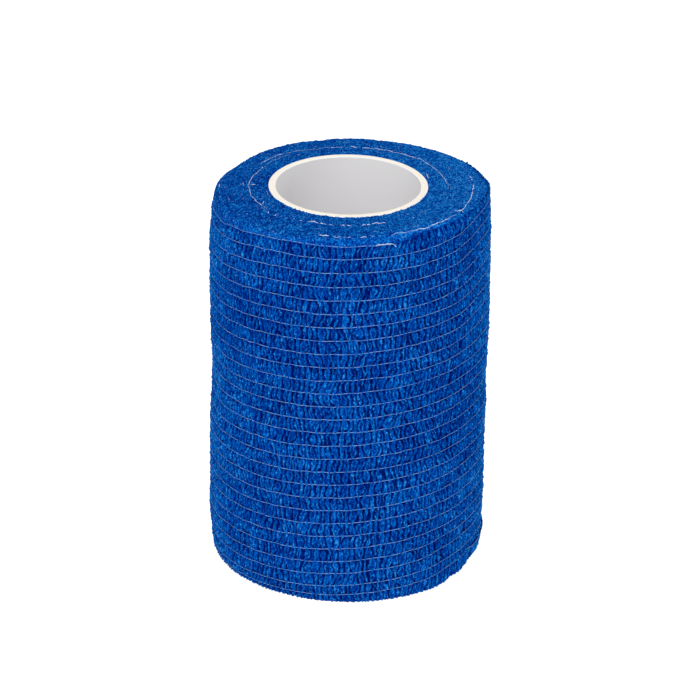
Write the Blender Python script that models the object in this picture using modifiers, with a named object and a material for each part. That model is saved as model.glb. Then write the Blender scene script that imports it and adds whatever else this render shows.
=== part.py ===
"""A cohesive bandage roll: an elastic cloth band wound on a paperboard core, standing on its end.

Units are metres, +Z is up, and the origin is the middle of the base that the roll stands on.
"""

import math

import bpy

# The band and its winding
BAND_WIDTH = 0.075  # width of the cloth, which is the height of the standing roll
ROLL_RADIUS = 0.0268  # mean radius of the outermost turn
LAYER = 0.00055  # thickness of one turn
TAIL_ANGLE = math.radians(100)  # where the cut end of the band lies, behind the roll
TAIL_EDGE = math.radians(0.8)  # arc that the cut edge takes up
COLUMNS = 60  # points round the roll

# Elastic threads that draw the cloth in, and the ribs that stand between them
THREADS = 28
FIRST_THREAD = 0.0740  # height of the topmost one
THREAD_PITCH = 0.002695
LAST_THREAD = 0.0018  # the lowest lies closer, where the edge curls under
GROOVE = 0.0003  # depth of the line along a thread
RIB_SHOULDER = 0.0007  # from a thread up or down to where its rib is full

# The outer turns are wound aslant round the front (-Y): higher on the right (+X), lower on the left
SLANT = 0.00215
SLANT_FROM = 0.019  # radius where the slant begins
SINK_FADE = 0.003  # below this height the base holds up a turn that sinks
RISE_FADE = 0.0015  # below this height a turn that rises still reaches down to the base
RIM_SLANT = 0.9  # share of the slant that reaches the top rim

# Paperboard core
CORE_RADIUS = 0.01507
CORE_WALL = 0.00131
CORE_HEIGHT = 0.0755
CORE_BEVEL = 0.00015
CORE_OFFSET = -0.00046  # the roll is wound a little unevenly, so its core is off its middle
CORE_GAP = 0.0003  # between the core and the innermost turn

# How far the outer turn stands out of or draws back from ROLL_RADIUS at each height, in millimetres
OUTLINE_COLUMNS = ("height", "left", "right")
OUTLINE = (
    (75.0, -0.90, -0.70),
    (73.5, -0.75, -0.60),
    (71.0, -0.35, -0.50),
    (68.0, -0.05, -0.30),
    (64.0, 0.12, -0.12),
    (56.0, 0.15, 0.00),
    (48.0, 0.00, 0.18),
    (41.0, -0.33, 0.00),
    (36.0, -0.15, -0.10),
    (30.0, 0.08, 0.05),
    (20.0, 0.20, 0.00),
    (10.0, 0.32, 0.05),
    (5.0, 0.05, -0.10),
    (1.2, -0.15, -0.20),
    (0.0, -0.45, -0.55),
)

# The top of the roll from its rim inwards. Each row is how far a point lies inside ROLL_RADIUS and
# how far below BAND_WIDTH, in millimetres
TOP_FACE = (
    (0.40, 0.45),
    (1.30, 0.05),
    (4.00, -0.05),
    (8.00, -0.20),
)
BASE_ROUNDING = 0.0006  # height of the last point of the outer side above the base
BASE_EDGE = 0.0003  # how far the base's rim lies inside that point

BORE_RADIUS = CORE_RADIUS + CORE_GAP
MM = 0.001


def thread_heights():
    """Heights of the elastic threads, from the top down."""
    return [FIRST_THREAD - THREAD_PITCH * i for i in range(THREADS - 1)] + [LAST_THREAD]


def band_profile():
    """Cross-section of the wound band as (radius, height) points, down its outer side first."""
    points = []
    heights = thread_heights()
    for upper, lower in zip(heights, heights[1:]):
        shoulder = min(RIB_SHOULDER, (upper - lower) / 3)
        points.append((ROLL_RADIUS - GROOVE, upper))
        points.append((ROLL_RADIUS, upper - shoulder))
        points.append((ROLL_RADIUS, lower + shoulder))
    points.append((ROLL_RADIUS - GROOVE, LAST_THREAD))
    points.append((ROLL_RADIUS, BASE_ROUNDING))
    points.append((ROLL_RADIUS - BASE_EDGE, 0.0))
    points.append((BORE_RADIUS, 0.0))
    points.append((BORE_RADIUS, BAND_WIDTH))
    for inside, below in reversed(TOP_FACE):
        points.append((ROLL_RADIUS - inside * MM, BAND_WIDTH - below * MM))
    return points


def core_profile():
    """Cross-section of the core as (radius, height) points, down its outer side first."""
    inner = CORE_RADIUS - CORE_WALL
    return [
        (CORE_RADIUS, CORE_HEIGHT - CORE_BEVEL),
        (CORE_RADIUS, CORE_BEVEL),
        (CORE_RADIUS - CORE_BEVEL, 0.0),
        (inner + CORE_BEVEL, 0.0),
        (inner, CORE_BEVEL),
        (inner, CORE_HEIGHT - CORE_BEVEL),
        (inner + CORE_BEVEL, CORE_HEIGHT),
        (CORE_RADIUS - CORE_BEVEL, CORE_HEIGHT),
    ]


def between(table, height, column):
    """Value of one column of OUTLINE at a height in millimetres, eased between its rows."""
    rows = sorted(table)
    height = min(max(height, rows[0][0]), rows[-1][0])
    for low, high in zip(rows, rows[1:]):
        if height <= high[0]:
            share = (height - low[0]) / (high[0] - low[0])
            eased = share * share * (3 - 2 * share)
            return low[column] + (high[column] - low[column]) * eased
    return rows[-1][column]


def outer_radius(turn, angle, height):
    """Radius of the outermost turn, a share of a turn past the cut end, at an angle and a height."""
    spiral = LAYER * (turn - 0.5)
    right = (1 + math.cos(angle)) / 2
    left_side = between(OUTLINE, height / MM, OUTLINE_COLUMNS.index("left"))
    right_side = between(OUTLINE, height / MM, OUTLINE_COLUMNS.index("right"))
    return ROLL_RADIUS + spiral + (left_side * (1 - right) + right_side * right) * MM


def slanted(radius, angle, height):
    """Height of a point of the wound band once its turn is laid aslant."""
    outwards = min(1, max(0, (radius - SLANT_FROM) / (ROLL_RADIUS - SLANT_FROM)))
    in_front = (1 - math.sin(angle)) / 2
    rise = SLANT * math.cos(angle) * in_front * outwards
    if height > FIRST_THREAD:
        rise *= RIM_SLANT
    fade = RISE_FADE if rise > 0 else SINK_FADE
    return height + rise * min(1, height / fade)


def wind(mesh):
    """Turns a plain turned band into the wound one: its spiral, cut end, uneven side and slant."""
    full_turn = 2 * math.pi
    drawn_angles = full_turn * (COLUMNS - 1) / COLUMNS
    for vertex in mesh.vertices:
        x, y, height = vertex.co
        radius = math.hypot(x, y)
        share = (math.atan2(y, x) % full_turn) / drawn_angles
        if share > 1 + 0.5 / COLUMNS:
            share = 0
        angle = TAIL_ANGLE + share * (full_turn - TAIL_EDGE)
        outwards = (radius - BORE_RADIUS) / (ROLL_RADIUS - BORE_RADIUS)
        grown = outer_radius(share, angle, height) - ROLL_RADIUS
        radius += outwards * grown
        vertex.co.x = radius * math.cos(angle) + (1 - outwards) * CORE_OFFSET
        vertex.co.y = radius * math.sin(angle)
        vertex.co.z = slanted(radius, angle, height)


def turned(profile, steps):
    """Mesh of a closed (radius, height) profile turned once round the Z axis."""
    outline = bpy.data.meshes.new("outline")
    corners = [(radius, 0.0, height) for radius, height in profile]
    sides = [(i, (i + 1) % len(corners)) for i in range(len(corners))]
    outline.from_pydata(corners, sides, [])
    blank = bpy.data.objects.new("blank", outline)
    bpy.context.scene.collection.objects.link(blank)
    screw = blank.modifiers.new("turn", "SCREW")
    screw.steps = steps
    screw.render_steps = steps
    screw.use_merge_vertices = True
    screw.merge_threshold = 0.00001
    graph = bpy.context.evaluated_depsgraph_get()
    mesh = bpy.data.meshes.new_from_object(blank.evaluated_get(graph))
    bpy.data.objects.remove(blank)
    bpy.data.meshes.remove(outline)
    return mesh


def finish(name):
    """A material from the finish tables below."""
    colour, roughness, sheen = FINISHES[name]
    material = bpy.data.materials.new(name)
    material.use_nodes = True
    shader = material.node_tree.nodes["Principled BSDF"]
    shader.inputs["Base Color"].default_value = (*colour, 1)
    shader.inputs["Roughness"].default_value = roughness
    shader.inputs["Metallic"].default_value = 0
    shader.inputs["Sheen Weight"].default_value = sheen
    return material


# colour, roughness, sheen
FINISHES = {
    "cloth": ((0.003, 0.05, 0.29), 0.9, 0.3),
    "core_board": ((0.70, 0.67, 0.61), 0.85, 0.0),
}


def add_part(name, mesh, finish_name, collection, offset=0.0):
    mesh.name = name
    mesh.materials.clear()
    mesh.materials.append(finish(finish_name))
    mesh.shade_smooth()
    mesh.set_sharp_from_angle(angle=math.radians(40))
    part = bpy.data.objects.new(name, mesh)
    part.location.x = offset
    collection.objects.link(part)
    return part


def main():
    for old in list(bpy.data.objects):
        bpy.data.objects.remove(old)
    collection = bpy.data.collections.new("cohesive_bandage_roll")
    bpy.context.scene.collection.children.link(collection)

    band = turned(band_profile(), COLUMNS)
    wind(band)
    add_part("bandage", band, "cloth", collection)

    core = turned(core_profile(), COLUMNS)
    add_part("core", core, "core_board", collection, offset=CORE_OFFSET)


main()
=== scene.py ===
"""Looks of a cohesive bandage roll: crinkled elastic cloth with pale threads, on a paperboard core.

Lengths are in millimetres until a mesh is made, +Z is up and the front of the roll is -Y.
A place on the cloth is given by share, the share of a turn past the cut end, and by arc, the way
along the roll's cross-section: up the bore, outwards over the top, down the side and back under.
"""

import math

import bpy
import numpy as np
from mathutils import Matrix


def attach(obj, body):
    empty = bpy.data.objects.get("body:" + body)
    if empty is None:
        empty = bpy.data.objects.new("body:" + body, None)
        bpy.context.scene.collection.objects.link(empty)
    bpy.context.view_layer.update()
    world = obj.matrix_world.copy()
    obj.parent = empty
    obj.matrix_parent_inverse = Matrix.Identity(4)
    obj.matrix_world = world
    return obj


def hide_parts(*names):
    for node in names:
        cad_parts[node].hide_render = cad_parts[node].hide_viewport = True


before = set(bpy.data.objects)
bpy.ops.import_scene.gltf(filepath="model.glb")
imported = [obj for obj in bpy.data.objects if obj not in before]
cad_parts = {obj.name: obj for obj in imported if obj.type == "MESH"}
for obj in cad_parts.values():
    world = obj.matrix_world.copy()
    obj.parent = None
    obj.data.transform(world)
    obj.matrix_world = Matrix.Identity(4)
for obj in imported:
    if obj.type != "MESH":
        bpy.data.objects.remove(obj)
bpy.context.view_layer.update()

MM = 0.001
FULL_TURN = 2 * math.pi

# ---- Measures of the solids, which the looks follow ----

BAND_WIDTH = 75.0
ROLL_RADIUS = 26.8
CIRCUMFERENCE = FULL_TURN * ROLL_RADIUS
LAYER = 0.55
TAIL_ANGLE = math.radians(100)
TAIL_EDGE = math.radians(0.8)
THREADS = 28
FIRST_THREAD = 74.0
THREAD_PITCH = 2.695
LAST_THREAD = 1.8
SLANT = 2.15
SLANT_FROM = 19.0
SINK_FADE = 3.0
RISE_FADE = 1.5
RIM_SLANT = 0.9
CORE_RADIUS = 15.07
CORE_WALL = 1.31
CORE_OFFSET = -0.46

# How far the outer turn stands out of ROLL_RADIUS at each height, at the left and at the right
LEFT, RIGHT = 1, 2
OUTLINE = (
    (75.0, -0.40, -0.75),
    (73.5, -0.34, -0.60),
    (71.0, -0.31, -0.50),
    (68.0, -0.05, -0.30),
    (64.0, 0.12, -0.12),
    (56.0, 0.15, 0.00),
    (48.0, 0.00, 0.18),
    (41.0, -0.33, 0.00),
    (36.0, -0.15, -0.10),
    (30.0, 0.08, 0.05),
    (20.0, 0.20, 0.00),
    (10.0, 0.32, 0.05),
    (5.0, 0.00, -0.10),
    (2.6, -0.28, -0.10),
    (1.2, -0.45, -0.15),
    (0.0, -0.60, -0.35),
)

# ---- Measures of the looks ----

BORE_RADIUS = CORE_RADIUS + 0.04  # the cloth hugs the core
CORNERS = (  # cross-section of the cloth as (radius, height), before it is rounded
    (BORE_RADIUS, 37.5),
    (BORE_RADIUS, 74.9),
    (BORE_RADIUS - 0.06, 75.26),
    (18.8, 75.24),
    (22.8, 75.12),
    (24.9, 75.08),
    (26.30, 74.75),
    (26.90, 73.60),
    (26.8, 71.80),
    (26.8, 1.60),
    (26.85, 0.30),
    (26.95, -0.40),
    (25.9, -0.40),
    (22.0, -0.15),
    (BORE_RADIUS + 0.50, -0.10),
    (BORE_RADIUS, 0.40),
    (BORE_RADIUS, 37.5),
)
ROUNDING_PASSES = 3

CORE_TOP = 75.25  # height of the core's rim at its sides
CORE_CUT = 0.36  # higher at the back, lower in front
COLLAR_RADIUS = 19.0  # within it the top follows the core's rim
COLLAR_RISE = 0.02  # of the cloth over that rim
PROFILE_TOP = 0.24  # of CORNERS over BAND_WIDTH beside the core
RIM_CREST = 74.72  # height where the top turns into the side
TOP_MIDDLE = 20.0  # a radius well inside the rim
NEAR_TOP = 70.0  # a height well under the rim
BORE_EDGE = 0.02  # from the bore to the top's and base's first row
BORE_GAP = 0.3  # from there to the bore's last row

COLUMNS = 1150  # steps round the roll
SIDE_STEPS = (0.0, 0.07, 0.17, 0.29, 0.43, 0.57, 0.71, 0.83, 0.93)  # share of a thread gap
EDGE_STEPS = SIDE_STEPS[:7]  # rows from the last thread to the lower edge
TOP_STEP = 0.20
BASE_STEP = 0.45
BORE_STEPS = 6
SIDE_PIECES = 4
EDGE_ROWS = 4  # rows of the felt that come down to the side, above and below

THREAD_RADIUS = 0.075
THREAD_DEPTH = 0.235  # of a thread's middle under the smooth cloth
THREAD_SIDES = 4
THREAD_GROOVE = -0.30  # relief of the cloth under a thread
KNOT_PITCH = 1.13  # mean way between the knots, where the cloth is gathered on a thread
KNOT_STRAY = 0.34  # of each knot from its even place
KNOT_DRIFT = (1.0, 4.2)  # of knots together, as waver takes it
SPARE_KNOTS = 8  # past both ends of a thread
KNOT_SHIFT = 0.16  # of a thread's whole row of knots
KNOT_COVERS = 0.80  # share of the knots that cover their thread
STITCH_LEAST = 0.55  # way between two covered places
STITCH_HALF = 0.13
STITCH_LEVEL = -0.11
STITCH_DIP = 0.10  # of a thread under a stitch
STITCH_BESIDE = 0.75  # share of a stitch's level in the rows beside its thread
BESIDE_DEEPER = 0.04
# Between these angles, thread 1's line goes up to the rim's crest and the thread doesn't show
FIRST_LIFT = 0.65
FIRST_LIFT_FROM = (-73, -58)
FIRST_LIFT_TO = (25, 50)
FIRST_LIFT_FADE = 3  # its groove fades sooner

SEED = 20
KNOT_SEED = SEED + 300
LOOSE_SEED = SEED + 500
FINE_SEED = 11
BROAD_SEED = 13
TOP_SEED = 21
BASE_SEED = 31


# ---- Noise ----

LATTICE_SIZE = 4096  # a power of two
LATTICE = np.random.default_rng(SEED).random(LATTICE_SIZE)
AXIS_PRIMES = (73856093, 19349663, 83492791)
SEED_FACTOR = 2654435
MIX_FACTOR = 2246822519
MIX_SHIFT = 7


def smoothstep(low, high, x):
    """0 below low, 1 above high and eased between them."""
    t = np.clip((x - low) / (high - low), 0, 1)
    return t * t * (3 - 2 * t)


def noise(x, y, z, size, seed):
    """Value noise from -1 to 1 with features about size across."""
    corner = [np.floor(a / size).astype(np.int64) for a in (x, y, z)]
    ease = [smoothstep(0, 1, a / size - c) for a, c in zip((x, y, z), corner)]
    total = 0
    for far in np.ndindex(2, 2, 2):
        mixed = seed * SEED_FACTOR
        for axis, prime in enumerate(AXIS_PRIMES):
            mixed = mixed ^ ((corner[axis] + far[axis]) * prime)
        value = LATTICE[((mixed * MIX_FACTOR) >> MIX_SHIFT) & (LATTICE_SIZE - 1)]
        for axis in range(3):
            value = value * (ease[axis] if far[axis] else 1 - ease[axis])
        total = total + value
    return total * 2 - 1


def waver(along, level, kind, seed):
    """Noise over a flat sheet, by the ways along and down it. Its kind is (amount, size)."""
    amount, size = kind
    return amount * noise(along, level, along * 0, size, seed)


def layered(x, y, z, layers, seed):
    """The sum of noises that are given as (amount, size)."""
    return sum(amount * noise(x, y, z, size, seed + i) for i, (amount, size) in enumerate(layers))


# ---- The form of the wound cloth ----


def between(height, column):
    """A column of OUTLINE at each height, eased between its rows."""
    rows = np.array(sorted(OUTLINE))
    height = np.clip(height, rows[0, 0], rows[-1, 0])
    above = np.clip(np.searchsorted(rows[:, 0], height), 1, len(rows) - 1)
    low = rows[above - 1]
    high = rows[above]
    eased = smoothstep(0, 1, (height - low[..., 0]) / (high[..., 0] - low[..., 0]))
    return low[..., column] + (high[..., column] - low[..., column]) * eased


def outer_radius(share, angle, height):
    """Radius of the outermost turn."""
    right = (1 + np.cos(angle)) / 2
    radius = ROLL_RADIUS + LAYER * (share - 0.5)
    return radius + between(height, LEFT) * (1 - right) + between(height, RIGHT) * right


def slanted(radius, angle, height):
    """Height of a point of the cloth once its turn is laid aslant."""
    outwards = np.clip((radius - SLANT_FROM) / (ROLL_RADIUS - SLANT_FROM), 0, 1)
    in_front = (1 - np.sin(angle)) / 2
    rise = SLANT * np.cos(angle) * in_front * outwards
    rise = np.where(height > FIRST_THREAD, rise * RIM_SLANT, rise)
    fade = np.where(rise > 0, RISE_FADE, SINK_FADE)
    return height + rise * np.minimum(1, height / fade)


def bell(angle, middle, width):
    """1 at the middle angle, falling off round the roll, all in degrees."""
    apart = (np.degrees(angle) - middle + 180) % 360 - 180
    return np.exp(-((apart / width) ** 2))


def after(angle, start, end):
    """0 before the start and 1 from the end to the back, in degrees."""
    apart = (np.degrees(angle) + 90 + 180) % 360 - 180
    return smoothstep(start + 90, end + 90, apart)


def swelling(angle, place):
    """A rise given as (rise, middle angle, width)."""
    rise, middle, width = place
    return rise * bell(angle, middle, width)


def lift(angle, place):
    """A rise given as (rise, angle where it starts, angle where it is full)."""
    rise, start, end = place
    return rise * after(angle, start, end)


# How the cloth strays from even lines, as swelling and lift take it
HUMP = (0.95, -123, 19)  # at the left under the rim
HUMP_FADE = 20  # way down the side
SAG = (-0.35, -163, 18)  # beyond the hump
SAG_BY_RIM = 1.3  # added by the rim
SAG_FADE = 4
EDGE_SAG = (-0.9, -180, 14)
EDGE_SAG_FADE = 3
FIRST_SAG = -0.28  # of the rim and thread 1
HOLLOW = (-62, 22)  # right of the middle
HOLLOW_DEPTH = 0.10
HOLLOW_UPPER_DEPTH = 0.40  # added on the upper part
RIGHT_LIFT = (0.25, -50, -28)
LOW_RIGHT_LIFT = (0.6, -58, -42)
FAR_RIGHT = (-42, -18)
FAR_RIGHT_LIFT = 0.25
FAR_RIGHT_UPPER_LIFT = 1.25  # added on the upper part
FOOT_LIFTS = ((1.1, -52, -38), (0.9, -34, -22))  # of the lower edge
LIFTS_END = (20, 60)
RIM_DIPS = ((-1.1, 16, 15), (-0.7, 151, 15))  # at the back on both sides
EVEN_RISE = -0.16


def wander(angle, height):
    """How much higher the cloth lies than in even lines."""
    on_side = smoothstep(BAND_WIDTH + 0.1, BAND_WIDTH - 1.2, height) * smoothstep(0, 1.5, height)
    under_rim = FIRST_THREAD - height
    at_first = smoothstep(72.3, 73.8, height)
    at_rim = smoothstep(71, 74.5, height)
    at_foot = smoothstep(3.0, 0.3, height)
    low = smoothstep(13, 8, height) * smoothstep(1.8, 6.5, height)
    upper = smoothstep(57, 62, height)
    far_upper = smoothstep(44, 54, height)

    hump = swelling(angle, HUMP) * np.exp(-under_rim / HUMP_FADE)
    near = np.abs(under_rim)
    sag = swelling(angle, SAG) * (1 + SAG_BY_RIM * np.exp(-near / SAG_FADE))
    sag = sag + swelling(angle, EDGE_SAG) * np.exp(-near / EDGE_SAG_FADE)
    hollow = -bell(angle, *HOLLOW) * (HOLLOW_DEPTH + HOLLOW_UPPER_DEPTH * upper)
    not_back = 1 - after(angle, *LIFTS_END)
    right = lift(angle, RIGHT_LIFT) * not_back
    far_right = FAR_RIGHT_LIFT + FAR_RIGHT_UPPER_LIFT * far_upper
    far_right = far_right * after(angle, *FAR_RIGHT) * not_back
    low_right = lift(angle, LOW_RIGHT_LIFT) * low * not_back
    lines = hump + sag + FIRST_SAG * at_first + hollow + right + far_right + low_right + EVEN_RISE
    rim = sum(swelling(angle, dip) for dip in RIM_DIPS) * at_rim
    foot = sum(lift(angle, part) for part in FOOT_LIFTS) * at_foot * not_back
    return lines * on_side + rim + foot


def rounded(corners, passes):
    """The corners as a smooth line, each pass cutting them off once more."""
    line = np.array(corners, float)
    for _ in range(passes):
        near = line[:-1] * 0.75 + line[1:] * 0.25
        far = line[:-1] * 0.25 + line[1:] * 0.75
        cut = np.stack([near, far], axis=1).reshape(-1, 2)
        line = np.concatenate([line[:1], cut, line[-1:]])
    return line


PROFILE = rounded(CORNERS, ROUNDING_PASSES)
PROFILE_ARCS = np.concatenate([[0.0], np.cumsum(np.hypot(*np.diff(PROFILE, axis=0).T))])
PROFILE_LENGTH = PROFILE_ARCS[-1]
SIDE_FROM = int(np.argmax((PROFILE[:, 0] > TOP_MIDDLE) & (PROFILE[:, 1] > NEAR_TOP)))
SIDE_TO = int(len(PROFILE) - np.argmax(PROFILE[::-1, 0] > TOP_MIDDLE))


def arc_at_height(height):
    """The arc where the outer side is at a height."""
    side = slice(SIDE_FROM, SIDE_TO)
    return float(np.interp(-height, -PROFILE[side, 1], PROFILE_ARCS[side]))


def arc_at_radius(radius, on_top):
    """The arc where the top or the base is at a radius."""
    middle = (SIDE_FROM + SIDE_TO) // 2
    part = slice(0, middle) if on_top else slice(middle, len(PROFILE))
    way = 1 if on_top else -1  # the radius grows along the top, and falls along the base
    return float(np.interp(way * radius, way * PROFILE[part, 0], PROFILE_ARCS[part]))


def angle_of(share):
    return TAIL_ANGLE + share * (FULL_TURN - TAIL_EDGE)


def core_top(y):
    """Height of the core's rim, which was cut a little out of square: lower in front."""
    return CORE_TOP + CORE_CUT * y / CORE_RADIUS


def surface(share, arc):
    """Points of the smooth cloth, as an array whose last axis is x, y, z."""
    radius = np.interp(arc, PROFILE_ARCS, PROFILE[:, 0])
    height = np.interp(arc, PROFILE_ARCS, PROFILE[:, 1])
    angle = angle_of(share)
    outwards = (radius - BORE_RADIUS) / (ROLL_RADIUS - BORE_RADIUS)
    grown = outer_radius(share, angle, height) - ROLL_RADIUS
    radius = radius + outwards * grown
    x = radius * np.cos(angle) + (1 - outwards) * CORE_OFFSET
    y = radius * np.sin(angle)
    z = slanted(radius, angle, height) + wander(angle, height) * outwards
    collar = smoothstep(COLLAR_RADIUS, CORE_RADIUS, radius)
    collar = collar * smoothstep(NEAR_TOP, BAND_WIDTH, height)
    z = z + collar * (core_top(y) + COLLAR_RISE - BAND_WIDTH - PROFILE_TOP)
    return np.stack([x, y, z], axis=-1)


def unit(vectors):
    return vectors / np.linalg.norm(vectors, axis=-1, keepdims=True)


def grid_normals(points):
    """Outward directions of a grid of arcs by shares."""
    return unit(np.cross(np.gradient(points, axis=0), np.gradient(points, axis=1)))


# ---- The crinkle ----

# A way in starts at a pucker's outline. A waver is as the function of that name takes it
BOW = 0.24  # how far a valley bends between its knots
TIP_SHORT = 0.10  # most from a bare thread to a pucker's end, as a share of the gap
TIP_OVER = 0.10  # past a covered thread
TAPER = (0.15, 0.60)  # width of a pucker's end, as a share of its middle
SWELL_POWER = 0.85  # below 1 a pucker is blunt
END_BLEND = 0.10
VALLEY_HALF = 0.13
VALLEY_RANGE = (0.4, 1.7)  # width as a share of the mean
VALLEY_FLOOR = -0.56
VALLEY_SAG = 0.09  # deeper in its middle
VALLEY_WAVER = (0.24, 0.80)
CROWN = -0.27
CROWN_SWELL = 0.09  # higher in its middle
CROWN_WAVER = (0.08, 0.50)
WALL = (-0.10, 0.12)  # ways in where a pucker's wall starts and ends
WARP = (0.24, 0.9)  # of the puckers' edges
FINE_WARP = (0.13, 0.40)
CREST_HEIGHT = (0.16, 0.03)  # mean and spread
CREST_IN = 0.14  # way in of the crest
CREST_HALF = 0.13
CREST_WAVER = (1.2, 0.55)
CREST_MOST = 2.2
DIMPLE_DEPTH = (0.10, 0.26)
DIMPLE_WALL = (0.20, 0.40)
PIT_SHARE = 0.55  # of the puckers have a small dark pit
PIT_DEPTH = 0.32
PIT_HALF = 0.11
PIT_LONGER = 1.5  # its length over its width
PIT_LEVEL = (0.32, 0.68)
PIT_ASIDE = 0.10
BRIDGE_SHARE = 0.65  # of the puckers have a fold across
BRIDGE_HEIGHT = 0.26
BRIDGE_HALF = 0.14
BRIDGE_APART = 0.22  # from the pit
BRIDGE_LEAN = 0.7
BRIDGE_WALL = (0.05, 0.25)
PUCKER_SHARE = 0.75  # of the relief about the crown that the mesh has, the rest being painted shade in the colour

FINE_LAYERS = ((0.06, 0.32), (0.04, 0.80))
BROAD_LAYERS = ((0.08, 5.0),)
FELT_LAYERS = ((0.11, 0.48), (0.15, 0.27), (0.04, 2.5))  # the edges of the many turns
FELT_RIM = (24.3, 25.8)  # radii over which it grows flatter
FELT_FLATTER = 0.45


def knots(number):
    """Places along a thread where the cloth is gathered, in millimetres past the cut end, and which
    of them cover the thread."""
    rng = np.random.default_rng(KNOT_SEED + number)
    count = int(CIRCUMFERENCE / KNOT_PITCH) + SPARE_KNOTS
    even = (np.arange(count) - (SPARE_KNOTS - 1) / 2) * KNOT_PITCH
    level = np.full(count, number * THREAD_PITCH)
    places = even + waver(even, level, KNOT_DRIFT, KNOT_SEED)
    places = places + rng.uniform(-KNOT_SHIFT, KNOT_SHIFT)
    places = places + rng.uniform(-KNOT_STRAY, KNOT_STRAY, count)
    return np.sort(places), rng.random(count) < KNOT_COVERS


def pucker_relief(rng, along, down, upper, lower):
    """Height over the smooth cloth of a row of puckers between two threads. Each is a broken crest
    round a dimple, between two valleys, and narrows towards its knots on the threads. down is 0 at
    the upper thread and 1 at the lower, and upper and lower are the knots of both."""
    upper_places, upper_covers = upper
    lower_places, lower_covers = lower
    upper_edges = (upper_places[:-1] + upper_places[1:]) / 2
    lower_edges = (lower_places[:-1] + lower_places[1:]) / 2
    count = len(upper_edges)
    bow = rng.normal(0, BOW, count)
    short = rng.uniform(0, TIP_SHORT, count)
    start = np.where(upper_covers[:-1], -TIP_OVER, short)
    end = 1 - np.where(lower_covers[:-1], -TIP_OVER, short[::-1])
    upper_taper = rng.uniform(*TAPER, count)
    lower_taper = rng.uniform(*TAPER, count)
    crest_height = rng.normal(*CREST_HEIGHT, count)
    dimple_depth = rng.uniform(*DIMPLE_DEPTH, count)
    gap = VALLEY_HALF * rng.uniform(*VALLEY_RANGE, count)
    pit_depth = np.where(rng.random(count) < PIT_SHARE, PIT_DEPTH, 0.0)
    pit_level = rng.uniform(*PIT_LEVEL, count)
    pit_aside = rng.uniform(-PIT_ASIDE, PIT_ASIDE, count)
    bridge_height = np.where(rng.random(count) < BRIDGE_SHARE, BRIDGE_HEIGHT, 0.0)
    bridge_level = pit_level + np.where(pit_level < 0.5, BRIDGE_APART, -BRIDGE_APART)
    bridge_lean = rng.uniform(-BRIDGE_LEAN, BRIDGE_LEAN, count)
    seed = int(rng.integers(1, 1000))

    relief = np.empty((len(down), len(along)))
    for row, v in enumerate(down):
        middle = math.sin(math.pi * v)
        edge = upper_edges * (1 - v) + lower_edges * v + bow * middle
        edge = np.maximum.accumulate(edge)
        level = np.full_like(along, v * THREAD_PITCH)
        warped = along + waver(along, level, WARP, seed)
        warped = warped + waver(along, level, FINE_WARP, seed + 1)
        cell = np.clip(np.searchsorted(edge, warped), 1, count - 1)
        left = edge[cell - 1]
        right = edge[cell]
        aside = warped - (left + right) / 2

        in_pucker = np.clip((v - start[cell]) / (end[cell] - start[cell]), 0, 1)
        swell = np.sin(math.pi * in_pucker) ** SWELL_POWER
        taper = upper_taper[cell] * (1 - v) + lower_taper[cell] * v
        half = ((right - left) / 2 - gap[cell]) * (taper + (1 - taper) * swell)
        from_side = half - np.abs(aside)
        from_end = np.minimum(v - start[cell], end[cell] - v) * THREAD_PITCH
        nearer_side = smoothstep(-END_BLEND, END_BLEND, from_end - from_side)
        way_in = from_end + (from_side - from_end) * nearer_side

        floor = VALLEY_FLOOR - VALLEY_SAG * middle + waver(along, level, VALLEY_WAVER, seed + 3)
        crown = CROWN + CROWN_SWELL * middle**0.5 + waver(along, level, CROWN_WAVER, seed + 4)
        crest = np.exp(-(((way_in - CREST_IN) / CREST_HALF) ** 2))
        broken = 1 + waver(along, level, CREST_WAVER, seed + 2)
        crest = crest_height[cell] * crest * np.clip(broken, 0, CREST_MOST)
        dimple = dimple_depth[cell] * smoothstep(*DIMPLE_WALL, way_in)
        pit_across = (aside - pit_aside[cell]) / PIT_HALF
        pit_down = (v - pit_level[cell]) * THREAD_PITCH / (PIT_HALF * PIT_LONGER)
        pit = pit_depth[cell] * np.exp(-(pit_across**2 + pit_down**2))
        bridge_down = (v - bridge_level[cell]) * THREAD_PITCH + bridge_lean[cell] * aside
        bridge = np.exp(-((bridge_down / BRIDGE_HALF) ** 2)) * smoothstep(*BRIDGE_WALL, way_in)
        relief[row] = floor + (crown - floor) * smoothstep(*WALL, way_in) + crest
        relief[row] -= dimple + pit
        relief[row] += bridge_height[cell] * bridge
    return relief


def stitches(number):
    """The places of a thread's knots where the cloth covers it."""
    places, covers = knots(number)
    places = places[covers]
    places = places[np.diff(places, prepend=-np.inf) > STITCH_LEAST]
    inside = (places > STITCH_LEAST) & (places < CIRCUMFERENCE - STITCH_LEAST)
    return places[inside]


def under_stitch(number, along):
    """1 at the middle of a stitch over a thread, falling to 0 beside it."""
    places = stitches(number)
    following = np.clip(np.searchsorted(places, along), 1, len(places) - 1)
    apart = np.minimum(np.abs(along - places[following - 1]), np.abs(places[following] - along))
    return np.exp(-((apart / STITCH_HALF) ** 2))


def first_thread_lift(angle):
    """How far thread 1's line goes up towards the crest of the rim."""
    return FIRST_LIFT * after(angle, *FIRST_LIFT_FROM) * (1 - after(angle, *FIRST_LIFT_TO))


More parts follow.
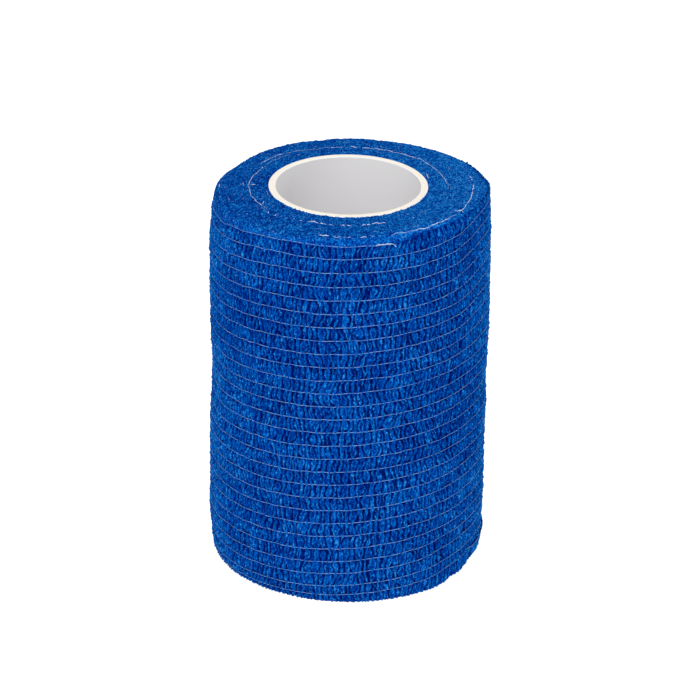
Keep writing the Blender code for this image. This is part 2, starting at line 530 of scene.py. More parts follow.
def side_relief(share, places):
    """Height over the smooth cloth of the rows of the outer side, whose x, y and z are given."""
    rng = np.random.default_rng(SEED)
    along = share * CIRCUMFERENCE
    side = np.full(places[0].shape, -np.inf)
    for gap in range(THREADS):
        down = (*SIDE_STEPS, 1.0) if gap < THREADS - 1 else EDGE_STEPS
        here = pucker_relief(rng, along, down, knots(gap), knots(gap + 1))
        first = gap * len(SIDE_STEPS)
        side[first] = np.maximum(side[first], here[0])
        side[first + 1 : first + len(down)] = here[1:]
    side += layered(*places, FINE_LAYERS, FINE_SEED)
    for number in range(THREADS):
        row = number * len(SIDE_STEPS)
        stitch = under_stitch(number, along)
        level = THREAD_GROOVE + (STITCH_LEVEL - THREAD_GROOVE) * stitch
        if number == 0:
            gone = np.minimum(1, FIRST_LIFT_FADE * first_thread_lift(angle_of(share)))
            level += (CROWN - level) * gone
        side[row] = level
        for beside in (row - 1, row + 1):
            if 0 < beside < len(side) - 1:
                target = STITCH_LEVEL - BESIDE_DEEPER
                side[beside] += (target - side[beside]) * stitch * STITCH_BESIDE
    return side


# ---- The grid of the cloth ----


def build_grid():
    """Rows of the whole cloth: their arcs, points, relief, the relief that the colour follows as
    painted shade, and the first and last row of the side."""
    share = np.linspace(0, 1, COLUMNS + 1)
    heights = [FIRST_THREAD - THREAD_PITCH * i for i in range(THREADS - 1)] + [LAST_THREAD]
    lines = [np.full_like(share, arc_at_height(h)) for h in heights]
    lines[0] = lines[0] + (arc_at_height(RIM_CREST) - lines[0]) * first_thread_lift(angle_of(share))
    top_start = arc_at_radius(BORE_RADIUS + BORE_EDGE, True)
    base_end = arc_at_radius(BORE_RADIUS + BORE_EDGE, False)

    bore_arcs = np.linspace(0, top_start - BORE_GAP, BORE_STEPS)
    rows = [np.full_like(share, arc) for arc in bore_arcs]
    top_rows = int((lines[0].mean() - top_start) / TOP_STEP)
    rows += [top_start + (lines[0] - top_start) * step / top_rows for step in range(top_rows)]
    side_top = len(rows)
    for upper, lower in zip(lines, lines[1:]):
        rows += [upper + (lower - upper) * step for step in SIDE_STEPS]
    rows += [lines[-1] + THREAD_PITCH * step for step in EDGE_STEPS]
    side_foot = len(rows) - 1
    base_start = rows[-1]
    base_rows = int((base_end - base_start[0]) / BASE_STEP)
    for step in range(1, base_rows + 1):
        rows.append(base_start + (base_end - base_start) * step / base_rows)
    bore_arcs = np.linspace(base_end + BORE_GAP, PROFILE_LENGTH, BORE_STEPS)
    rows += [np.full_like(share, arc) for arc in bore_arcs]

    arcs = np.array(rows)
    smooth = surface(share[None, :], arcs)
    places = np.moveaxis(smooth, -1, 0)
    top = slice(BORE_STEPS, side_top)
    side = slice(side_top, side_foot + 1)
    base = slice(side_foot + 1, len(arcs) - BORE_STEPS)
    relief = np.zeros(arcs.shape)
    relief[top] = layered(*places[:, top], FELT_LAYERS, TOP_SEED)
    relief[base] = layered(*places[:, base], FELT_LAYERS, BASE_SEED)
    puckers = side_relief(share, places[:, side])
    relief[side] = puckers + layered(*places[:, side], BROAD_LAYERS, BROAD_SEED)
    # looks keeps the whole relief, which the colour follows as painted shade: darker in the folds,
    # paler on the crests and tufts
    looks = relief.copy()
    relief[side] += (1 - PUCKER_SHARE) * (CROWN - puckers)

    by_rim = smoothstep(*FELT_RIM, np.hypot(*places[:2, top]))
    relief[top] *= 1 - FELT_FLATTER * by_rim
    for step in range(EDGE_ROWS):
        share_down = ((step + 1) / (EDGE_ROWS + 1)) ** 2
        upper = side_top - EDGE_ROWS + step
        lower = side_foot + EDGE_ROWS - step
        relief[upper] += (CROWN - relief[upper]) * share_down
        relief[lower] += (relief[side_foot] - relief[lower]) * share_down
    return share, arcs, smooth, relief, looks, side_top, side_foot


# ---- Meshes ----


def make_mesh(name, points, quads, triangles=(), normals=None, values=()):
    """A mesh from arrays. values are pairs of an attribute's name and its number at each point."""
    mesh = bpy.data.meshes.new(name)
    corners = np.concatenate([np.ravel(quads), np.ravel(triangles)]).astype(np.int32)
    sizes = np.repeat([4, 3], [len(quads), len(triangles)])
    starts = (np.cumsum(sizes) - sizes).astype(np.int32)
    mesh.vertices.add(len(points))
    mesh.vertices.foreach_set("co", (np.asarray(points) * MM).astype(np.float32).ravel())
    mesh.loops.add(len(corners))
    mesh.loops.foreach_set("vertex_index", corners)
    mesh.polygons.add(len(starts))
    mesh.polygons.foreach_set("loop_start", starts)
    mesh.update(calc_edges=True)
    mesh.validate()
    mesh.shade_smooth()
    for attribute_name, numbers in values:
        attribute = mesh.attributes.new(attribute_name, "FLOAT", "POINT")
        attribute.data.foreach_set("value", np.asarray(numbers, np.float32).ravel())
    if normals is not None:
        mesh.normals_split_custom_set_from_vertices(np.asarray(normals).tolist())
    return mesh


def new_object(name, data):
    thing = bpy.data.objects.new(name, data)
    bpy.context.scene.collection.objects.link(thing)
    return thing


def add_piece(name, mesh, material, node):
    mesh.materials.append(material)
    piece = new_object(name, mesh)
    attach(piece, "root")
    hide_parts(node)


def grid_quads(rows, columns):
    """Faces of a grid of rows by columns points, facing outwards."""
    index = np.arange(rows * columns).reshape(rows, columns)
    upper, lower = index[:-1], index[1:]
    corners = [upper[:, :-1], lower[:, :-1], lower[:, 1:], upper[:, 1:]]
    return np.stack(corners, -1).reshape(-1, 4)


def cut_end(grid):
    """The last and the first column of a grid, which the cut end joins."""
    return np.stack([grid[:, -1], grid[:, 0]], axis=1)


def cloth_mesh(name, rows):
    """The cloth between two rows of the grid, closed along its cut end."""

    def with_end(grid, end):
        return np.concatenate([a.reshape(-1, *grid.shape[2:]) for a in (grid, end)])

    part = points[rows]
    height, width = part.shape[:2]
    step = cut_end(part)
    down = np.gradient(step.mean(axis=1), axis=0)
    facing = unit(np.cross(down, step[:, 1] - step[:, 0]))
    part_normals = with_end(normals[rows], np.repeat(facing[:, None, :], 2, axis=1))
    quads = np.concatenate([grid_quads(height, width), grid_quads(height, 2) + height * width])
    part_painted_shade = with_end(painted_relief_shade[rows], CUT_END_SHADE * cut_end(painted_relief_shade[rows]))
    values = (("fold", part_painted_shade), ("felt", with_end(felts[rows], cut_end(felts[rows]))))
    return make_mesh(name, with_end(part, step), quads, normals=part_normals, values=values)


def ring_quads(index):
    """Faces between the rows of a grid whose columns close into rings."""
    following = np.roll(index, -1, axis=1)
    return np.stack([index[:-1], following[:-1], following[1:], index[1:]], -1).reshape(-1, 4)


def tube(centres, outwards, radius, sides):
    """Points and faces of one thread. outwards is a direction across it at each point."""
    centres = np.asarray(centres, float)
    count = len(centres)
    forward = unit(np.gradient(centres, axis=0))
    outwards = unit(outwards - (outwards * forward).sum(-1, keepdims=True) * forward)
    sideways = np.cross(forward, outwards)
    turns = FULL_TURN * np.arange(sides) / sides
    radius = np.broadcast_to(radius, (count,))
    ring = outwards[:, None] * np.cos(turns)[None, :, None]
    ring = ring + sideways[:, None] * np.sin(turns)[None, :, None]
    points = centres[:, None] + ring * radius[:, None, None]
    index = np.arange(count * sides).reshape(count, sides)
    following = np.roll(index, -1, axis=1)
    start = count * sides
    first_cap = np.stack([np.full(sides, start), following[0], index[0]], -1)
    last_cap = np.stack([np.full(sides, start + 1), index[-1], following[-1]], -1)
    points = np.concatenate([points.reshape(-1, 3), centres[:1], centres[-1:]])
    return points, ring_quads(index), np.concatenate([first_cap, last_cap])


def join(parts):
    """One set of arrays from several (points, quads, triangles)."""
    bases = np.cumsum([0] + [len(part[0]) for part in parts])
    points = np.concatenate([part[0] for part in parts])
    quads = np.concatenate([part[1] + base for part, base in zip(parts, bases)])
    triangles = np.concatenate([part[2] + base for part, base in zip(parts, bases)])
    return points, quads, triangles


# ---- Materials ----

COLOUR_A, COLOUR_B, MIXED_COLOUR = 6, 7, 2  # sockets of a Mix node


def new_material(name):
    material = bpy.data.materials.new(name)
    material.use_nodes = True
    return material, material.node_tree, material.node_tree.nodes["Principled BSDF"]


def feed(tree, node, inputs):
    """Links or sets inputs of a node, given by name or number."""
    for key, value in inputs.items():
        if isinstance(value, bpy.types.NodeSocket):
            tree.links.new(value, node.inputs[key])
        else:
            node.inputs[key].default_value = value


def add_node(tree, kind, inputs, **settings):
    """Adds a node and returns its outputs."""
    node = tree.nodes.new("ShaderNode" + kind)
    for name, value in settings.items():
        setattr(node, name, value)
    feed(tree, node, inputs)
    return node.outputs


def noise_node(tree, place, size, detail, output="Fac"):
    """A noise whose features are about size across, in millimetres."""
    inputs = {"Vector": place, "Scale": 1 / (size * MM), "Detail": detail}
    return add_node(tree, "TexNoise", inputs)[output]


def maths(tree, operation, *values):
    return add_node(tree, "Math", dict(enumerate(values)), operation=operation)[0]


def vector_maths(tree, operation, *values):
    return add_node(tree, "VectorMath", dict(enumerate(values)), operation=operation)["Vector"]


def ramp(tree, factor, stops):
    """A colour ramp with (position, colour) stops."""
    node = tree.nodes.new("ShaderNodeValToRGB")
    elements = node.color_ramp.elements
    while len(elements) < len(stops):
        elements.new(0.5)
    for element, (position, colour) in zip(elements, stops):
        element.position = position
        element.color = (*colour, 1)
    feed(tree, node, {"Fac": factor})
    return node.outputs["Color"]


def mix(tree, factor, first, second):
    """Mixes a colour of the tree with a constant one."""
    inputs = {"Factor": factor, COLOUR_A: first, COLOUR_B: (*second, 1)}
    return add_node(tree, "Mix", inputs, data_type="RGBA")[MIXED_COLOUR]


def bump(tree, height, distance, strength):
    inputs = {"Height": height, "Distance": distance * MM, "Strength": strength}
    return add_node(tree, "Bump", inputs)["Normal"]


def place_of(tree):
    return add_node(tree, "TexCoord", {})["Object"]


def attribute_node(tree, name):
    return add_node(tree, "Attribute", {}, attribute_name=name)["Fac"]


def strayed(tree, place, size, amount):
    """The place moved about by a noise, so that a pattern laid there curls."""
    stray = noise_node(tree, place, size, 1, output="Color")
    stray = vector_maths(tree, "SUBTRACT", stray, (0.5, 0.5, 0.5))
    stray = vector_maths(tree, "MULTIPLY", stray, (amount * MM,) * 3)
    return vector_maths(tree, "ADD", place, stray)


def strokes(tree, place, size, width):
    """1 along curling lines that part the features of a noise, falling to 0 beside them."""
    apart = maths(tree, "SUBTRACT", noise_node(tree, place, size, 0), 0.5)
    line = maths(tree, "MULTIPLY_ADD", maths(tree, "ABSOLUTE", apart), -1 / width, 1.0)
    return maths(tree, "MAXIMUM", line, 0.0)


# How strongly each pattern shades the cloth, where 0 is the deepest fold and 1 the highest crest;
# the relief's share of it is painted shade
FIBRE_SHADE = 0.80
TUFT_SHADE = 2.6  # of the felt alone
GRAIN_SHADE = 0.8  # of the felt, twice that on the side
LINE_SHADE = 0.11  # of the bright lines on the side
DARK_LINES = 1.3  # strength of the dark ones
PATCH_SHADE = 0.12
SHADE_TO_RAMP = 0.7
BLUES = (
    (0.03, (0.0002, 0.0038, 0.090)),
    (0.28, (0.0002, 0.0155, 0.160)),
    (0.47, (0.0002, 0.0370, 0.232)),
    (0.60, (0.0003, 0.0590, 0.302)),
    (0.69, (0.0005, 0.0820, 0.350)),
    (0.84, (0.0030, 0.1240, 0.412)),
    (1.00, (0.0250, 0.1950, 0.490)),
)
BLACK = (0, 0, 0)
WHITE = (1, 1, 1)
FLECK_COLOUR = (0.09, 0.20, 0.46)
FLECK_CUTS = ((0.75, BLACK), (0.80, WHITE))
MORE_FLECKS = 0.045  # on the felt
LINT_COLOUR = (0.10, 0.04, 0.08)
LINT_CUTS = ((0.90, BLACK), (0.93, WHITE))
UPRIGHT = (1.0, 1.0, 0.85)  # the lines run more up than round
TUFT_STRETCH = (1.0, 0.6, 1.0)  # longest from front to back


def cloth_material():
    material, tree, shader = new_material("elastic_cloth")
    place = place_of(tree)
    # fold is painted shade from the relief, darkest in the deepest folds and palest on the crests
    fold = attribute_node(tree, "fold")
    felt = attribute_node(tree, "felt")
    on_side = maths(tree, "SUBTRACT", 1.0, felt)
    fibre = noise_node(tree, place, size=0.14, detail=2)
    grain = noise_node(tree, place, size=0.30, detail=1)
    patches = noise_node(tree, place, size=9, detail=2)
    shade = maths(tree, "MULTIPLY_ADD", fibre, FIBRE_SHADE, -FIBRE_SHADE / 2)
    shade = maths(tree, "ADD", shade, fold)

    curled = strayed(tree, place, size=0.5, amount=0.3)
    tufts = vector_maths(tree, "MULTIPLY", curled, TUFT_STRETCH)
    tuft = noise_node(tree, tufts, size=0.26, detail=1)
    tuft = maths(tree, "MULTIPLY", maths(tree, "SUBTRACT", tuft, 0.5), felt)
    shade = maths(tree, "MULTIPLY_ADD", tuft, TUFT_SHADE, shade)

    speckle = maths(tree, "MULTIPLY_ADD", on_side, GRAIN_SHADE, GRAIN_SHADE)
    speckle = maths(tree, "MULTIPLY", speckle, maths(tree, "SUBTRACT", grain, 0.5))
    shade = maths(tree, "ADD", shade, speckle)

    curled = strayed(tree, place, size=1.0, amount=1.3)
    upright = vector_maths(tree, "MULTIPLY", curled, UPRIGHT)
    bright_lines = strokes(tree, upright, size=0.75, width=0.07)
    dark_lines = strokes(tree, upright, size=0.62, width=0.06)
    lines = maths(tree, "MULTIPLY_ADD", dark_lines, -DARK_LINES, bright_lines)
    lines = maths(tree, "MULTIPLY", lines, LINE_SHADE)
    shade = maths(tree, "ADD", shade, maths(tree, "MULTIPLY", lines, on_side))
    patches = maths(tree, "MULTIPLY_ADD", patches, PATCH_SHADE, -PATCH_SHADE / 2)
    shade = maths(tree, "ADD", shade, patches)
    colour = ramp(tree, maths(tree, "MULTIPLY", shade, SHADE_TO_RAMP), BLUES)

    pale = noise_node(tree, place, size=0.37, detail=1)
    pale = maths(tree, "MULTIPLY_ADD", felt, MORE_FLECKS, pale)
    colour = mix(tree, ramp(tree, pale, FLECK_CUTS), colour, FLECK_COLOUR)
    lint = noise_node(tree, place, size=0.45, detail=0)
    colour = mix(tree, ramp(tree, lint, LINT_CUTS), colour, LINT_COLOUR)
    finish = {
        "Base Color": colour,
        "Roughness": 0.95,
        "Specular IOR Level": 0.0,
        "Sheen Weight": 0.012,
        "Sheen Roughness": 0.5,
        "Sheen Tint": (0.25, 1.0, 0.75, 1),
        "Normal": bump(tree, fibre, distance=0.04, strength=0.6),
    }
    feed(tree, shader, finish)
    return material


def make_matte(tree, shader, colour, normal, roughness):
    inputs = {"Base Color": colour, "Normal": normal, "Roughness": roughness}
    feed(tree, shader, {**inputs, "Specular IOR Level": 0.2})


def thread_material(name, dull, pale):
    """The look of a thread whose colour wavers between dull and pale along it."""
    material, tree, shader = new_material(name)
    place = place_of(tree)
    waver = noise_node(tree, place, size=0.55, detail=2)
    colour = ramp(tree, waver, ((0.33, dull), (0.62, pale)))
    grain = noise_node(tree, place, size=0.1, detail=2)
    make_matte(tree, shader, colour, bump(tree, grain, distance=0.03, strength=0.5), roughness=0.8)
    return material


BOARD_COLOURS = ((0.3, (0.75, 0.70, 0.61)), (0.7, (0.80, 0.75, 0.66)))
LINER_COLOUR = (0.82, 0.815, 0.835)  # of the white paper on both faces


def board_material():
    material, tree, shader = new_material("core_board")
    place = place_of(tree)
    cloudy = noise_node(tree, place, size=1.6, detail=3)
    board = ramp(tree, cloudy, BOARD_COLOURS)
    colour = mix(tree, attribute_node(tree, "fold"), board, LINER_COLOUR)
    grain = noise_node(tree, place, size=0.2, detail=3)
    make_matte(tree, shader, colour, bump(tree, grain, distance=0.03, strength=0.4), roughness=0.85)
    return material


# ---- The pieces of the cloth ----

# Painted shade: the colour is darkest at LOWEST_RELIEF and palest at HIGHEST_RELIEF, and
# FELT_CONTRAST paints the felt's relief as shade
LOWEST_RELIEF = -0.66
HIGHEST_RELIEF = -0.06
FELT_SHADE = 0.84
FELT_CONTRAST = 2.0
PALER_RIGHT = 0.10  # of the felt
PAINTED_SIDE_SHADE = ((0.05, -138, 24), (0.07, -42, 24))  # painted shade on the side, to the left and the right of the front
# Painted shade over the felt's rim in front, which the lamps light brightly: as (depth, middle
# angle, width), growing from the first radius to the second
RIM_PAINTED_SHADE = (0.12, -90, 35)
RIM_PAINTED_SHADE_RADII = (25.3, 26.3)
CUT_END_SHADE = 0.8

cloth = cloth_material()
thread = thread_material("elastic_thread", dull=(0.025, 0.09, 0.30), pale=(0.125, 0.265, 0.53))

share, arcs, smooth, relief, looks, side_top, side_foot = build_grid()
points = smooth + relief[..., None] * grid_normals(smooth)
points[..., 2] = np.maximum(points[..., 2], 0)
normals = grid_normals(points)

angles = angle_of(share)
in_felt = np.ones(len(points), bool)
in_felt[side_top : side_foot + 1] = False
painted_relief_shade = (looks - LOWEST_RELIEF) / (HIGHEST_RELIEF - LOWEST_RELIEF)
# Painted shade: the side is darker to the left and the right of the front
painted_relief_shade[~in_felt] -= sum(swelling(angles, place) for place in PAINTED_SIDE_SHADE)
at_rim = smoothstep(*RIM_PAINTED_SHADE_RADII, np.hypot(smooth[..., 0], smooth[..., 1]))
painted_relief_shade[in_felt] = FELT_SHADE + FELT_CONTRAST * looks[in_felt] + PALER_RIGHT * np.cos(angles)
# Painted shade on the felt's rim in front
painted_relief_shade[in_felt] -= (at_rim * swelling(angles, RIM_PAINTED_SHADE))[in_felt]
felts = np.broadcast_to(in_felt[:, None] * 1.0, painted_relief_shade.shape)

piece_gaps = range(0, THREADS, THREADS // SIDE_PIECES)
piece_edges = [side_top + len(SIDE_STEPS) * gap for gap in piece_gaps]
piece_edges = [0, *piece_edges, side_foot + EDGE_ROWS, len(points) - 1]
names = ["cloth_top", *[f"cloth_side_{i + 1}" for i in range(SIDE_PIECES)], "cloth_base"]
for name, first, last in zip(names, piece_edges, piece_edges[1:]):
    add_piece(name, cloth_mesh(name, slice(first, last + 1)), cloth, "bandage")


# ---- The elastic threads ----

BARE_WAYS = (0.06, 0.5, 0.94)  # shares of the way between two stitches
THREAD_WAVER = (0.09, 1.6)
SHARE_STEP = 1e-4
ARC_STEP = 0.05
LEAST_POINTS = 4


def thread_line(number):
    """Centres, outward directions and angles along a thread, which dips under each stitch."""
    places = stitches(number)
    bare = np.diff(places) - 2 * STITCH_HALF
    way = [places[:-1]]
    way += [places[:-1] + STITCH_HALF + bare * part_way for part_way in BARE_WAYS]
    dip = [np.ones(len(bare))] + [np.zeros(len(bare))] * len(BARE_WAYS)
    way = np.stack(way, axis=1).ravel()
    dip = np.stack(dip, axis=1).ravel()
    at = way / CIRCUMFERENCE
    arc = np.interp(at, share, arcs[side_top + len(SIDE_STEPS) * number])
    arc = arc + waver(way, way * 0, THREAD_WAVER, SEED + number)
    here = surface(at, arc)
    across = surface(at + SHARE_STEP, arc) - surface(at - SHARE_STEP, arc)
    down = surface(at, arc + ARC_STEP) - surface(at, arc - ARC_STEP)
    outwards = unit(np.cross(down, across))
    broad = layered(*np.moveaxis(here, -1, 0), BROAD_LAYERS, BROAD_SEED)
    depth = THREAD_DEPTH + STITCH_DIP * dip - broad
    return here - outwards * depth[:, None], outwards, angle_of(at)


def thread_stretches(number, angle):
    """Which points of a thread join up. Thread 1 has none where its line goes up."""
    if number > 0:
        return [np.arange(len(angle))]
    shown = first_thread_lift(angle) == 0
    ends = np.flatnonzero(np.diff(shown.astype(int)))
    stretches = np.split(np.arange(len(angle)), ends + 1)
    return [s for s in stretches if shown[s[0]] and len(s) >= LEAST_POINTS]


parts = []
for number in range(THREADS):
    centres, outwards, angle = thread_line(number)
    for stretch in thread_stretches(number, angle):
        parts.append(tube(centres[stretch], outwards[stretch], THREAD_RADIUS, THREAD_SIDES))
thread_mesh = make_mesh("elastic_threads", *join(parts))
add_piece("elastic_threads", thread_mesh, thread, "bandage")


# ---- Loose threads on the top face ----

LOOSE_RADIUS = 0.085
PALE_RADIUS = 0.9 * LOOSE_RADIUS
CURLED_RADIUS = 0.65 * LOOSE_RADIUS
LOOSE_SPACING = 0.45
LOOSE_WAVER = (0.10, 0.9)
LOOSE_HEIGHT = 0.03  # over the felt
RISE_WAVER = (0.05, 1.1)
END_THICKNESS = 0.55
END_LENGTH = 0.3
# Each thread as points of (angle in degrees, distance from the axis)
BRIGHT_THREADS = (
    ((212.0, 19.25), (211.2, 19.0), (208.8, 18.5)),
    ((182.3, 18.9), (182.3, 17.9)),
    ((222, 20.5), (223, 20.65)),
    ((226.7, 20.1), (227.5, 20.6)),
    ((238.3, 19.85), (239, 19.8)),
    ((175.7, 25.0), (179.6, 24.7)),
    ((-114, 19.8), (-110, 19.6), (-106, 19.75), (-102.6, 20.0)),
    ((-95.3, 19.7), (-92, 20.0), (-89.2, 20.2)),
    (
        (-83.6, 20.3), (-83.0, 19.9), (-79.9, 19.75), (-75.6, 19.1), (-73.5, 19.75),
        (-72, 19.5), (-70.5, 19.8),
    ),
    ((-103.7, 24.3), (-99, 24.6)),
    ((-91, 24.85), (-89.8, 24.8)),
    (
        (-35.4, 23.75), (-34.5, 24.6), (-32, 24.6), (-26.5, 24.0), (-22, 23.8), (-14, 23.3),
        (-7, 23.05),
    ),
    ((-7, 23.05), (-3, 23.2), (2.1, 23.1)),
    ((-32.7, 24.5), (-34.5, 25.3)),
    ((-54.7, 19.9), (-54.0, 20.05)),
    ((92, 20.1), (85.6, 19.7)),
    ((24.1, 15.8), (19.9, 15.4), (15.7, 15.5)),
    ((19.0, 15.2), (19.9, 15.4), (20.5, 15.9)),
    ((17.5, 23.6), (14.5, 23.9)),
    ((12.5, 23.6), (11.3, 23.5)),
)
PALE_THREADS = (
    ((152, 18.9), (165, 18.9), (174, 19.1), (182, 19.3), (191, 19.3), (198, 19.5)),
    ((198, 19.5), (204.9, 19.5), (209.6, 19.65), (213.8, 19.65)),
    ((-62, 25.28), (-59, 25.25), (-54, 25.25), (-49, 25.1), (-43.6, 25.1)),
    ((101.7, 19.8), (95, 19.7)),
    ((84, 19.7), (76.5, 19.7), (68.7, 19.55), (63, 19.3), (54.5, 19.2), (46, 19.2), (35.5, 18.65)),
    ((35.5, 18.65), (26, 18.45), (13.6, 18.4), (6, 18.4)),
    ((147.5, 20.75), (140, 20.8), (134.5, 20.75), (129.5, 20.7)),
    ((-118, 19.9), (-115.7, 20.0)),
    ((-101.4, 20.0), (-98.5, 20.4)),
    ((-97.1, 24.7), (-94.3, 24.95)),
    ((-85.8, 25.0), (-83, 25.1)),
)
DIM_THREADS = (
    ((-73, 25.3), (-69, 25.3), (-65, 25.3), (-62, 25.28)),
    ((213.8, 19.65), (216.5, 19.7), (220.1, 19.85)),
    ((6, 18.4), (0.7, 18.35), (-3, 18.3)),
    ((128, 20.5), (118, 19.9), (109, 19.7), (102, 19.8)),
    ((152, 19.1), (146.9, 19.2), (138, 19.3), (128, 19.4)),
    ((176.9, 20.4), (183, 20.1)),
    ((187.6, 20.3), (189.4, 20.5)),
    ((179.3, 20.6), (180.3, 20.7)),
    ((166.8, 20.4), (168.0, 20.3)),
    ((180, 23.9), (181.6, 23.7)),
    ((-176.4, 24.7), (-175.0, 24.8)),
    ((-168, 23.5), (-164, 23.4)),
    ((-167.6, 16.3), (-158.4, 16.2)),
    ((-126.4, 20.0), (-124.7, 20.2)),
    ((-93, 24.9), (-91.6, 24.9)),
    ((-81.1, 25.1), (-80, 25.15)),
    ((-43.6, 25.05), (-38.4, 24.9)),
    ((9.7, 22.9), (11.7, 22.7)),
    ((73.6, 17.6), (72.0, 17.5)),
)
# The end of thread 1, which hangs out, as points of (angle in degrees, height)
CURLED_END = (
    (-79.5, 73.86), (-78.0, 73.94), (-76.5, 73.90), (-75.0, 73.96),
    (-73.6, 73.90), (-72.6, 73.80), (-71.8, 73.56), (-71.3, 73.24),
)
CURLED_OUT = 0.02  # from the outermost turn

FLECKS = 150  # short ends of thread on the top
FLECK_RINGS = (19.4, 24.3)  # radii that most lie near
FLECK_RING_SHARES = (0.6, 0.4)
FLECK_SPREAD = 0.9
FLECKS_ANYWHERE = 0.35  # share of them strewn over FLECK_FELT
FLECK_FELT = (16.0, 25.3)
FLECK_LIMITS = (15.8, 25.6)
FLECK_LENGTH = (0.15, 0.7)
FLECK_TURN = 0.7  # radians
FLECKS_TURNED = 0.25  # share of them that turn more
FLECK_MORE_TURN = 1.5
FLECK_RADIUS = (0.05, 0.10)
FLECK_WAVER = (0.05, 0.9)


def top_height(angle, radius):
    """Height of the top face at each angle and radius."""
    top = slice(BORE_STEPS, side_top)
    turned = (angle - TAIL_ANGLE) % FULL_TURN / (FULL_TURN - TAIL_EDGE)
    columns = np.clip(np.round(turned * COLUMNS).astype(int), 0, COLUMNS)
    heights = []
    for column, distance in zip(columns, radius):
        reach = np.hypot(points[top, column, 0], points[top, column, 1])
        heights.append(np.interp(distance, np.maximum.accumulate(reach), points[top, column, 2]))
    return np.array(heights)


def round_roll(distance, angle, height):
    """Points from their distance from the roll's axis, angle and height."""
    return np.stack([distance * np.cos(angle), distance * np.sin(angle), height], -1)


def laid_thread(corners, rng, thickness, kind):
    """A thread that lies on the top face along the corners, waving a little."""
    corners = np.array(corners, float)
    angle = np.radians(corners[:, 0])
    x, y, _ = round_roll(corners[:, 1], angle, angle).T
    way = np.concatenate([[0.0], np.cumsum(np.hypot(np.diff(x), np.diff(y)))])
    at = np.linspace(0, way[-1], max(3, int(way[-1] / LOOSE_SPACING) + 1))
    turned = np.interp(at, way, np.unwrap(angle))
    seed = int(rng.integers(1, 9999))
    distance = np.interp(at, way, corners[:, 1]) + waver(at, at * 0, kind, seed)
    height = top_height(turned, distance) + LOOSE_HEIGHT + waver(at, at * 0, RISE_WAVER, seed + 1)
    centres = round_roll(distance, turned, height)
    upwards = np.broadcast_to((0.0, 0.0, 1.0), centres.shape)
    from_end = np.minimum(at, way[-1] - at)
    fuller = (1 - END_THICKNESS) * smoothstep(0, END_LENGTH, from_end)
    return tube(centres, upwards, thickness * (END_THICKNESS + fuller), THREAD_SIDES)


def curled_end():
    angle, height = np.array(CURLED_END).T
    angle = np.radians(angle)
    reach = outer_radius(0.5, angle, height) + CURLED_OUT
    outwards = round_roll(1.0, angle, 0 * angle)
    centres = round_roll(reach, angle, height)
    return tube(centres, outwards, CURLED_RADIUS, THREAD_SIDES)


def strewn_fleck(rng):
    """One short end, which lies most often near the rings of loose threads."""
    distance = rng.choice(FLECK_RINGS, p=FLECK_RING_SHARES) + rng.normal(0, FLECK_SPREAD)
    if rng.random() < FLECKS_ANYWHERE:
        distance = rng.uniform(*FLECK_FELT)
    distance = min(max(distance, FLECK_LIMITS[0]), FLECK_LIMITS[1])
    angle = rng.uniform(-180, 180)
    length = rng.uniform(*FLECK_LENGTH)
    turn = rng.uniform(-FLECK_TURN, FLECK_TURN)
    if rng.random() < FLECKS_TURNED:
        turn = rng.uniform(-FLECK_MORE_TURN, FLECK_MORE_TURN)
    sweep = math.degrees(length * math.cos(turn) / distance)
    corners = (angle, distance), (angle + sweep, distance + length * math.sin(turn))
    return laid_thread(corners, rng, rng.uniform(*FLECK_RADIUS), FLECK_WAVER)


rng = np.random.default_rng(LOOSE_SEED)
for name, threads, radius, dull, pale in (
    ("bright", BRIGHT_THREADS, LOOSE_RADIUS, (0.26, 0.38, 0.64), (0.66, 0.71, 0.82)),
    ("pale", PALE_THREADS, PALE_RADIUS, (0.14, 0.24, 0.50), (0.50, 0.58, 0.76)),
    ("dim", DIM_THREADS, LOOSE_RADIUS, (0.03, 0.10, 0.32), (0.20, 0.30, 0.55)),
):
    parts = [laid_thread(corners, rng, radius, LOOSE_WAVER) for corners in threads]
    if name == "bright":
        parts.append(curled_end())
    if name == "dim":
        parts += [strewn_fleck(rng) for _ in range(FLECKS)]
    look = thread_material(f"{name}_thread", dull, pale)
    loose_mesh = make_mesh(f"{name}_threads", *join(parts))
    add_piece(f"{name}_threads", loose_mesh, look, "bandage")


# ---- The core ----

CORE_COLUMNS = 240
RIM_STEPS = 14
RIM_ROUNDED = 0.12
RIM_INSET = 0.03
RIM_DROP = 0.10
RIM_FLATNESS = 8
FOOT_BEVEL = 0.12
FOOT_HEIGHT = 0.15
OUTER_HEIGHTS = (37.0, 74.0)
INNER_HEIGHTS = (74.0, 55.0, 37.0, 18.0)
LINERS = (0.10, 0.86)  # beyond these shares of the wall the board is white
LINER_WHITENESS = 0.9
SHARP_ANGLE = math.radians(50)


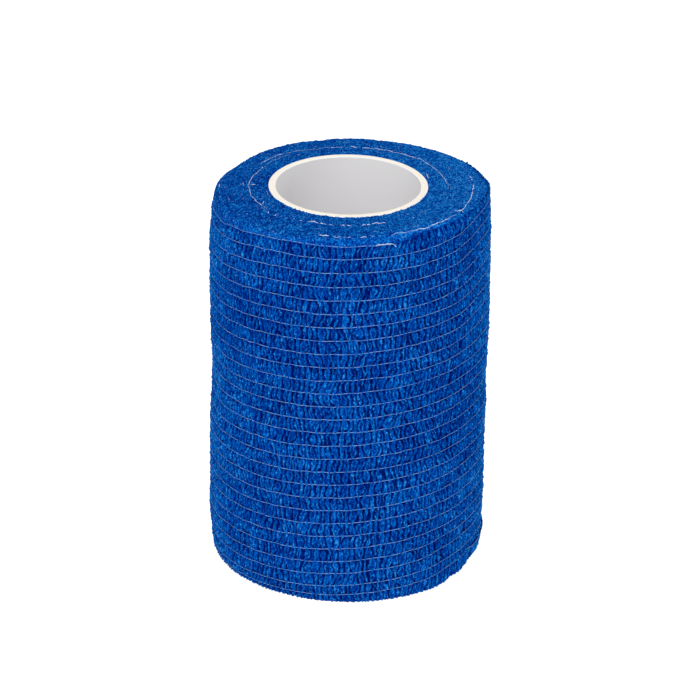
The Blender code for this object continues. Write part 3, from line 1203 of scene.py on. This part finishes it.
def core_piece():
    """The paperboard core, turned from its cross-section, with the liners that show on its rim."""
    inner = CORE_RADIUS - CORE_WALL
    shoulder = CORE_TOP - RIM_ROUNDED
    outline = [(CORE_RADIUS, height) for height in (FOOT_HEIGHT, *OUTER_HEIGHTS, shoulder)]
    for step in range(RIM_STEPS + 1):
        across = step / RIM_STEPS
        radius = CORE_RADIUS - RIM_INSET - (CORE_WALL - 2 * RIM_INSET) * across
        outline.append((radius, CORE_TOP - RIM_DROP * abs(2 * across - 1) ** RIM_FLATNESS))
    outline += [(inner, height) for height in (shoulder, *INNER_HEIGHTS, FOOT_HEIGHT)]
    outline += [(inner + FOOT_BEVEL, 0.0), (CORE_RADIUS - FOOT_BEVEL, 0.0)]
    rows = len(outline)
    turn = FULL_TURN * np.arange(CORE_COLUMNS) / CORE_COLUMNS
    radius, height = np.repeat(np.array(outline).T[..., None], CORE_COLUMNS, axis=-1)
    x = radius * np.cos(turn) + CORE_OFFSET
    y = radius * np.sin(turn)
    height = np.where(height > NEAR_TOP, height + core_top(y) - CORE_TOP, height)
    index = np.arange(rows * CORE_COLUMNS).reshape(rows, CORE_COLUMNS)
    quads = ring_quads(np.concatenate([index, index[:1]]))
    across = (CORE_RADIUS - radius) / CORE_WALL
    white = np.where((across < LINERS[0]) | (across > LINERS[1]), LINER_WHITENESS, 0.0)
    return np.stack([x, y, height], -1).reshape(-1, 3), quads, white


core_points, core_quads, core_white = core_piece()
core_mesh = make_mesh("core_tube", core_points, core_quads, values=(("fold", core_white),))
core_mesh.set_sharp_from_angle(angle=SHARP_ANGLE)
add_piece("core_tube", core_mesh, board_material(), "core")


# ---- Floor, light and camera ----

FLOOR_HALF = 3.0  # metres
FLOOR_DEPTH = 0.0001  # metres under the roll
FLOOR_GREY = (0.5, 0.5, 0.5, 1)
FLOOR_GLOW = 0.85
WORLD_LIGHT = 0.65
LIGHTS = (  # name, place, aim, width and height in metres, and power in watts
    ("key", (-0.12, -0.35, 0.75), (0, 0, 0.05), 0.5, 0.5, 4.0),
    ("front", (0.0, -0.95, 0.04), (0, 0, 0.04), 0.3, 0.07, 4.15),
    ("right_edge", (0.80, 0.50, 0.35), (0, 0, 0.04), 0.4, 0.4, 1.7),
)
CAMERA_PLACE = (0.33, -570.3, 302.9)
CAMERA_DOWN = math.radians(24.669)
CAMERA_ROLL = math.radians(0.869)
CAMERA_LENS = 167.15
CAMERA_SENSOR = 36.0
CAMERA_CLIP = (0.01, 20)  # metres


def add_floor():
    corners = [(x * FLOOR_HALF, y * FLOOR_HALF, 0) for x, y in ((-1, -1), (1, -1), (1, 1), (-1, 1))]
    mesh = bpy.data.meshes.new("floor")
    mesh.from_pydata(corners, [], [(0, 1, 2, 3)])
    floor = new_object("floor", mesh)
    floor.location.z = -FLOOR_DEPTH
    material, tree, shader = new_material("studio_floor")
    finish = {
        "Base Color": FLOOR_GREY,
        "Roughness": 1.0,
        "Specular IOR Level": 0.0,
        "Emission Color": (1, 1, 1, 1),
        "Emission Strength": FLOOR_GLOW,
    }
    feed(tree, shader, finish)
    mesh.materials.append(material)


def add_light(name, place, aim, width, height, power):
    data = bpy.data.lights.new(name, "AREA")
    data.shape = "RECTANGLE"
    data.size = width
    data.size_y = height
    data.energy = power
    light = new_object(name, data)
    back = unit(np.subtract(place, aim))
    right = unit(np.cross((0, 0, 1), back))
    up = np.cross(back, right)
    light.matrix_world = Matrix.Translation(place) @ Matrix((right, up, back)).transposed().to_4x4()


def add_world():
    world = bpy.data.worlds.new("studio")
    world.use_nodes = True
    tree = world.node_tree
    glow = {"Color": (1, 1, 1, 1), "Strength": WORLD_LIGHT}
    feed(tree, tree.nodes["Background"], glow)
    bpy.context.scene.world = world


def add_camera():
    data = bpy.data.cameras.new("camera")
    data.sensor_width = CAMERA_SENSOR
    data.lens = CAMERA_LENS
    data.clip_start, data.clip_end = CAMERA_CLIP
    camera = new_object("camera", data)
    place = Matrix.Translation([c * MM for c in CAMERA_PLACE])
    tilt = Matrix.Rotation(math.pi / 2 - CAMERA_DOWN, 4, "X")
    camera.matrix_world = place @ tilt @ Matrix.Rotation(CAMERA_ROLL, 4, "Z")
    bpy.context.scene.camera = camera


add_floor()
add_world()
for light in LIGHTS:
    add_light(*light)
add_camera()
bpy.context.scene.view_settings.view_transform = "Standard"
